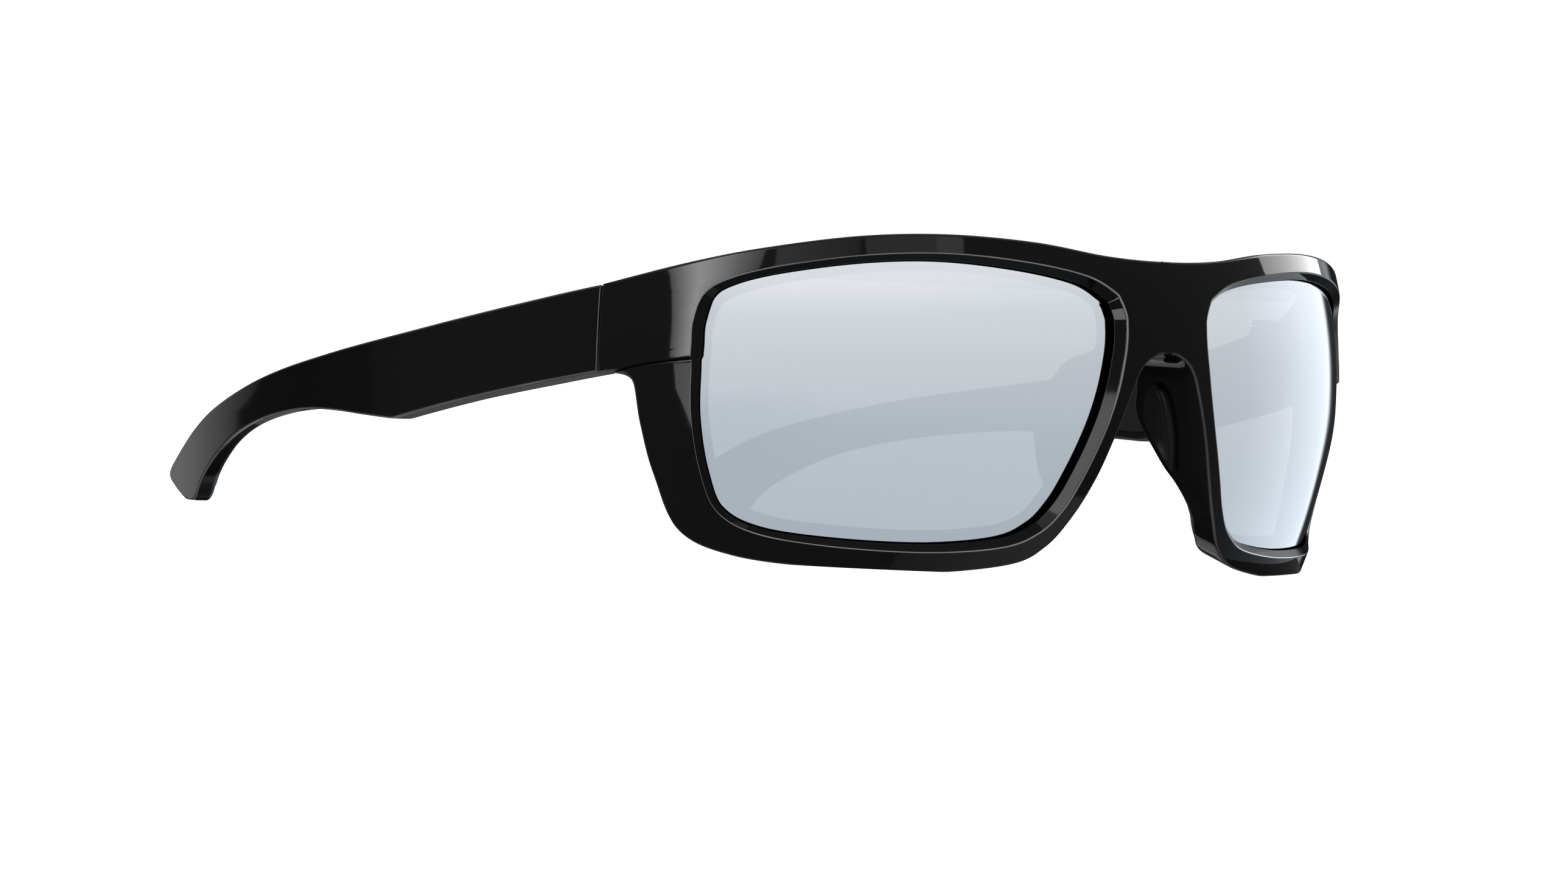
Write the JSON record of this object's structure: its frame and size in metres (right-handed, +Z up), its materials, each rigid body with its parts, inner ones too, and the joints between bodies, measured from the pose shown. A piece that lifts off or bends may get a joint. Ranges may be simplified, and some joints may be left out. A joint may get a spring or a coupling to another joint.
{
  "type": "wraparound sport sunglasses",
  "caption": "Wraparound sunglasses: one-piece full rim with nose wings, two curved mirrored lenses, ribbed nose pads and folding temples with a drop at the tip.",
  "frame": {"origin": "on the table plane, below the middle of the glasses' bounding box, with the glasses standing open on both lower rims and both temple tips", "axes": "+X to the wearer's left, +Y back along the temples, +Z up; the front faces -Y"},
  "size_m": [0.1364, 0.157, 0.0429],
  "materials": {
    "black_nylon": "polished black nylon",
    "mirror_lens": "silver mirror coat on tinted polycarbonate",
    "rubber": "soft satin rubber",
    "steel": "satin stainless steel"
  },
  "bodies": {
    "front": {"front_frame": "black_nylon", "lens_left": "mirror_lens", "lens_right": "mirror_lens", "nose_pad_left": "rubber", "nose_pad_right": "rubber", "hinge_front_leaf_left": "steel", "hinge_front_leaf_right": "steel", "hinge_screw_left": "steel", "hinge_screw_right": "steel", "front_rivet_1_left": "steel", "front_rivet_2_left": "steel", "front_rivet_1_right": "steel", "front_rivet_2_right": "steel"},
    "temple_arm_left": {"temple_left": "black_nylon", "temple_grip_left": "rubber", "hinge_temple_leaf_left": "steel", "temple_rivet_1_left": "steel", "temple_rivet_2_left": "steel"},
    "temple_arm_right": {"temple_right": "black_nylon", "temple_grip_right": "rubber", "hinge_temple_leaf_right": "steel", "temple_rivet_1_right": "steel", "temple_rivet_2_right": "steel"}
  },
  "joints": [
    {"name": "fold_left", "type": "hinge", "parent": "front", "child": "temple_arm_left", "pos_m": [0.05628, -0.03678, 0.02744], "axis": [0, 0.0847, 0.9964], "range_deg": [0, 84]},
    {"name": "fold_right", "type": "hinge", "parent": "front", "child": "temple_arm_right", "pos_m": [-0.05628, -0.03678, 0.02744], "axis": [0, -0.0847, -0.9964], "range_deg": [0, 74]}
  ]
}
